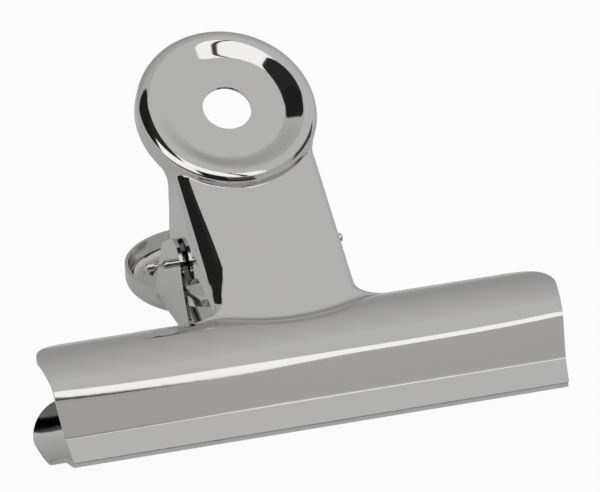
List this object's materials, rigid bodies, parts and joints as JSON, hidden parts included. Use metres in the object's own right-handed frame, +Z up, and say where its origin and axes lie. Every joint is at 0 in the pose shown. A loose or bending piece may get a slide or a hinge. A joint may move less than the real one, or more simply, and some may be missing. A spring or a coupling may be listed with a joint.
{
  "type": "bulldog clip",
  "caption": "Polished steel bulldog clip: two sprung jaws with round thumb grips on one pivot pin hold a stack of paper, and hang it from a hole in each grip.",
  "frame": {"origin": "middle of the clip's footprint on the table it lies on", "axes": "+X along the jaw bar, +Y towards the thumb grips, +Z up from the table the clip lies on, out of its front half"},
  "size_m": [0.075, 0.0656, 0.0399],
  "materials": {
    "front_plate": "polished nickel plate",
    "rear_plate": "polished nickel plate",
    "pin_wire": "bright plated wire",
    "spring_wire": "drawn spring wire"
  },
  "bodies": {
    "rear": {"rear_jaw": "rear_plate", "torsion_spring": "spring_wire"},
    "front": {"front_jaw": "front_plate"},
    "pin": {"pivot_pin": "pin_wire"}
  },
  "joints": [
    {"name": "jaw_hinge", "type": "hinge", "parent": "rear", "child": "front", "pos_m": [0, 0.00287, 0.01395], "axis": [-1, 0, 0], "range_deg": [0, 65], "stiffness_Nm_per_rad": 0.2, "springref_deg": -51.57, "deforming": ["torsion_spring"]},
    {"name": "pin_spin", "type": "hinge", "parent": "rear", "child": "pin", "pos_m": [0, 0.00287, 0.01395], "axis": [1, 0, 0], "continuous": true}
  ]
}
